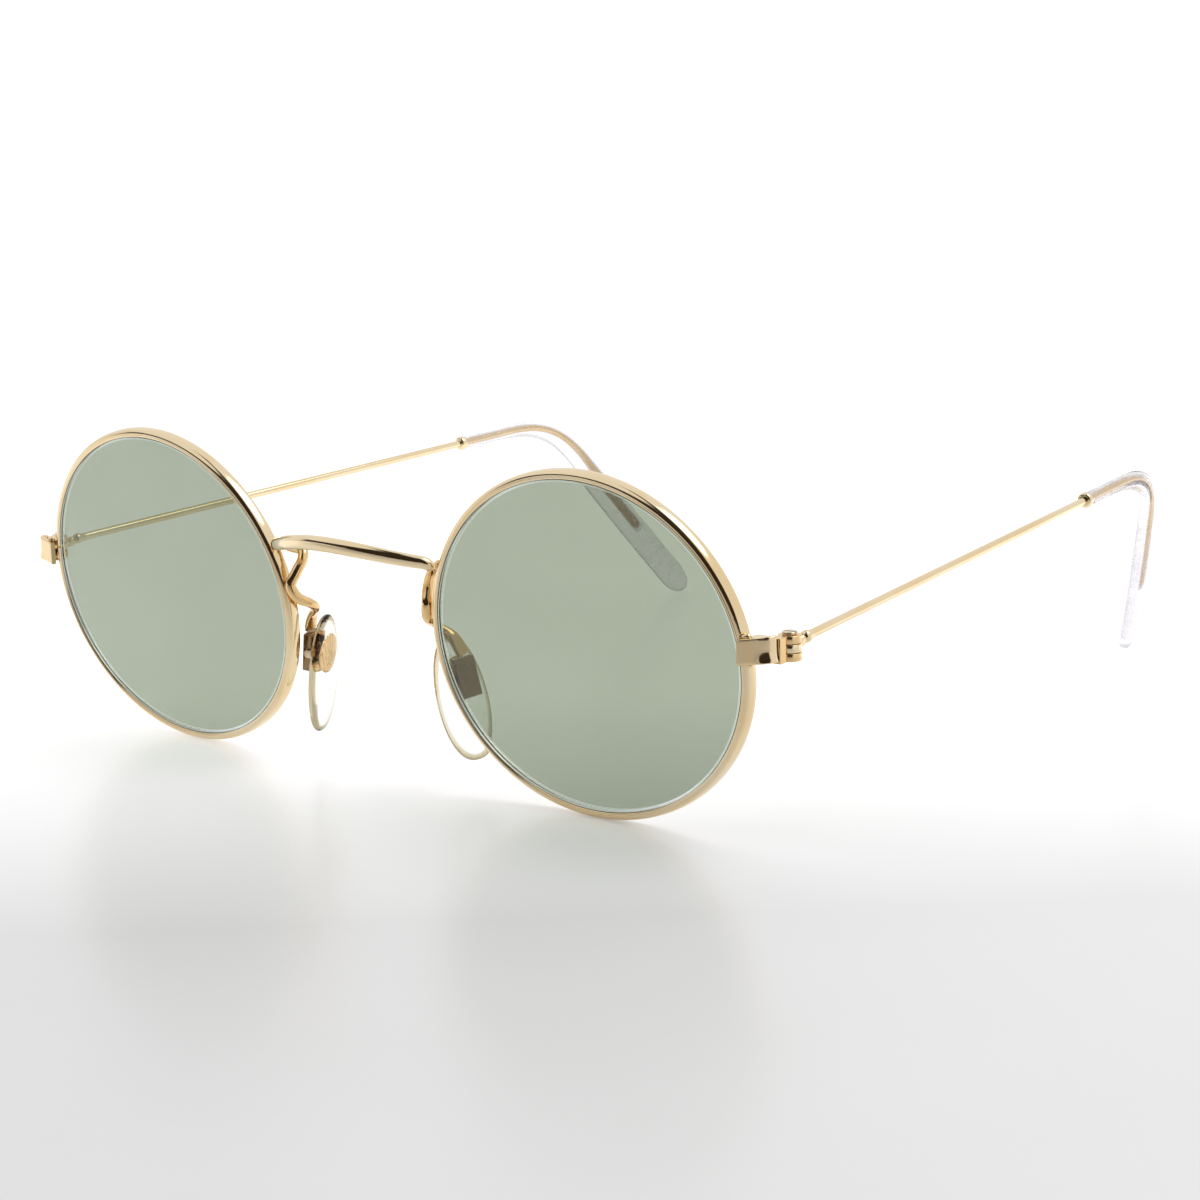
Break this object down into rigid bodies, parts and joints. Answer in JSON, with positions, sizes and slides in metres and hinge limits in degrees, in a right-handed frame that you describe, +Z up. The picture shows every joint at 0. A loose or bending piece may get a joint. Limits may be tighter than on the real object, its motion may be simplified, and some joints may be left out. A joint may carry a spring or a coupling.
{
  "type": "eyeglasses",
  "caption": "Gold wire-rim eyeglasses with oval green lenses, an arched bridge, rocking clear nose pads, barrel-hinged temples and clear paddle ear tips.",
  "frame": {"origin": "middle of the footprint on the table, with the pair open: half way from the front of the bridge to the back of the tips, at table height", "axes": "+X towards the wearer's left, -Y the way the wearer looks, +Z up"},
  "size_m": [0.128, 0.1242, 0.0423],
  "materials": {
    "gold_metal": "polished pale gold plate",
    "screw_metal": "satin pale gold",
    "green_lens": "polished grey-green tinted glass",
    "clear_plastic": "glossy clear plastic"
  },
  "bodies": {
    "front": {"bridge": "gold_metal", "rim_left": "gold_metal", "lens_left": "green_lens", "endpiece_left": "gold_metal", "rim_lock_upper_left": "gold_metal", "rim_lock_lower_left": "gold_metal", "rim_lock_screw_left": "screw_metal", "hinge_front_left": "gold_metal", "hinge_screw_left": "screw_metal", "pad_arm_left": "gold_metal", "pad_box_left": "gold_metal", "pad_pin_left": "screw_metal", "rim_right": "gold_metal", "lens_right": "green_lens", "endpiece_right": "gold_metal", "rim_lock_upper_right": "gold_metal", "rim_lock_lower_right": "gold_metal", "rim_lock_screw_right": "screw_metal", "hinge_front_right": "gold_metal", "hinge_screw_right": "screw_metal", "pad_arm_right": "gold_metal", "pad_box_right": "gold_metal", "pad_pin_right": "screw_metal"},
    "temple_arm_left": {"hinge_temple_left": "gold_metal", "temple_left": "gold_metal", "temple_collar_left": "gold_metal", "temple_tip_left": "clear_plastic"},
    "temple_arm_right": {"hinge_temple_right": "gold_metal", "temple_right": "gold_metal", "temple_collar_right": "gold_metal", "temple_tip_right": "clear_plastic"},
    "pad_left": {"nose_pad_left": "clear_plastic", "pad_insert_left": "gold_metal"},
    "pad_right": {"nose_pad_right": "clear_plastic", "pad_insert_right": "gold_metal"}
  },
  "joints": [
    {"name": "temple_left_fold", "type": "hinge", "parent": "front", "child": "temple_arm_left", "pos_m": [0.0626, -0.05075, 0.02359], "axis": [0, 0, 1], "range_deg": [0, 78]},
    {"name": "temple_right_fold", "type": "hinge", "parent": "front", "child": "temple_arm_right", "pos_m": [-0.0626, -0.05075, 0.02359], "axis": [0, 0, -1], "range_deg": [0, 70]},
    {"name": "pad_left_rock", "type": "hinge", "parent": "front", "child": "pad_left", "pos_m": [0.0136, -0.05045, 0.01429], "axis": [0.3182, 0.938, 0.1375], "range_deg": [-8, 8]},
    {"name": "pad_right_rock", "type": "hinge", "parent": "front", "child": "pad_right", "pos_m": [-0.0136, -0.05045, 0.01429], "axis": [-0.3182, 0.938, 0.1375], "range_deg": [-8, 8]}
  ]
}
